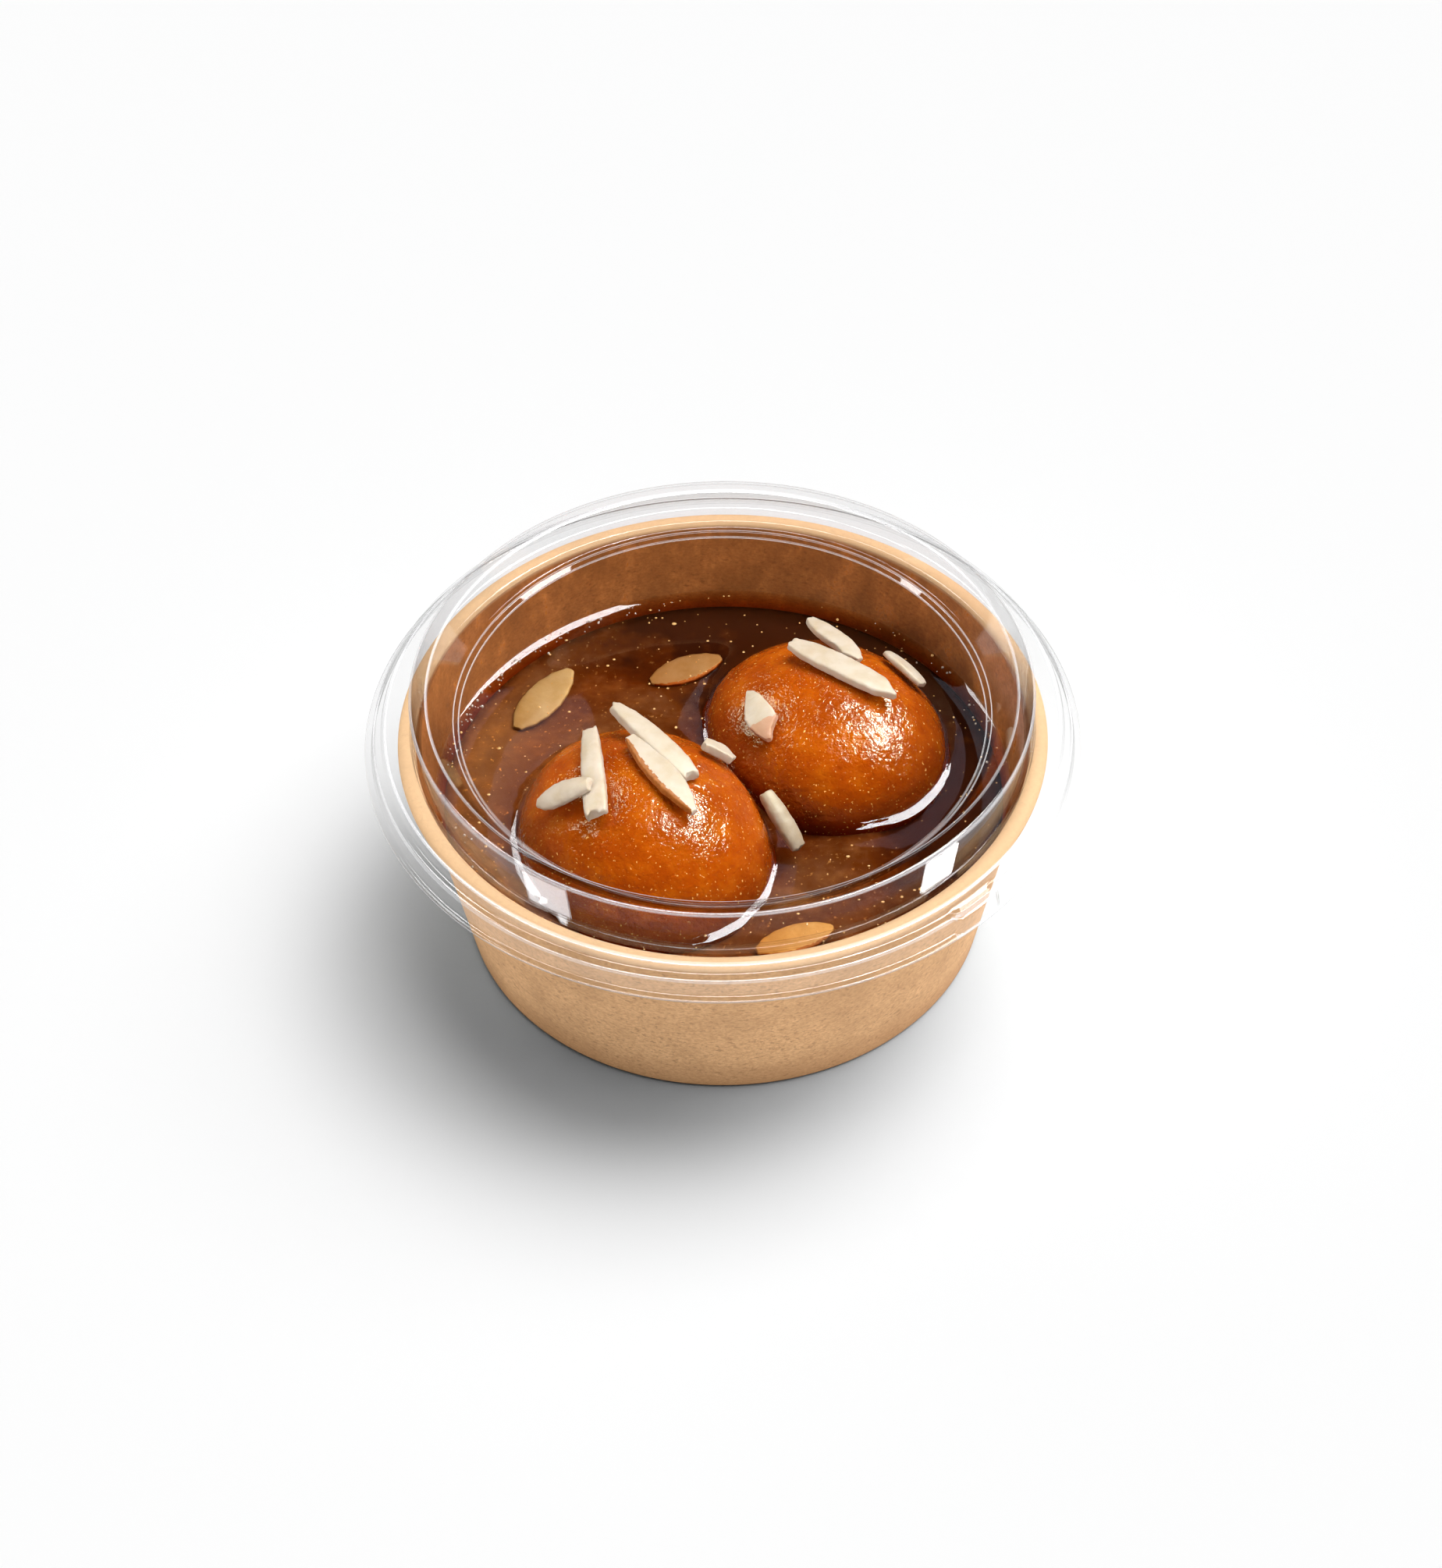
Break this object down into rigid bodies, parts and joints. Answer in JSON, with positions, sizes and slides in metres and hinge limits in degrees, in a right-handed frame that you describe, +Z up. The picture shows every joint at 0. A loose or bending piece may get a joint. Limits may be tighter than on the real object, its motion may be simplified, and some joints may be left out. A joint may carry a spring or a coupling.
{
  "type": "gulab jamun",
  "caption": "Round dumplings half sunk in sugar syrup, topped with slivered almonds, in a round paper bowl closed by a clear plastic lid.",
  "frame": {"origin": "centre of the bowl's base, on the surface it stands on", "axes": "+Z up along the bowl's axis; +Y from the front dumpling's side of the bowl to the back"},
  "size_m": [0.128, 0.128, 0.0535],
  "materials": {
    "kraft": "matt kraft paper",
    "clear_lid": "clear and glossy",
    "syrup": "wet, dark amber brown",
    "jamun": "wet glossy fried skin",
    "almond": "matt, cream"
  },
  "bodies": {
    "root": {"bowl": "kraft", "lid": "clear_lid", "syrup": "syrup", "jamun_front": "jamun", "jamun_back": "jamun", "almond_front_long": "almond", "almond_front_skin": "almond", "almond_front_upright": "almond", "almond_front_short": "almond", "almond_chip_gap": "almond", "almond_back_long": "almond", "almond_back_behind": "almond", "almond_back_side": "almond", "almond_back_chip": "almond", "almond_between": "almond"}
  },
  "joints": []
}
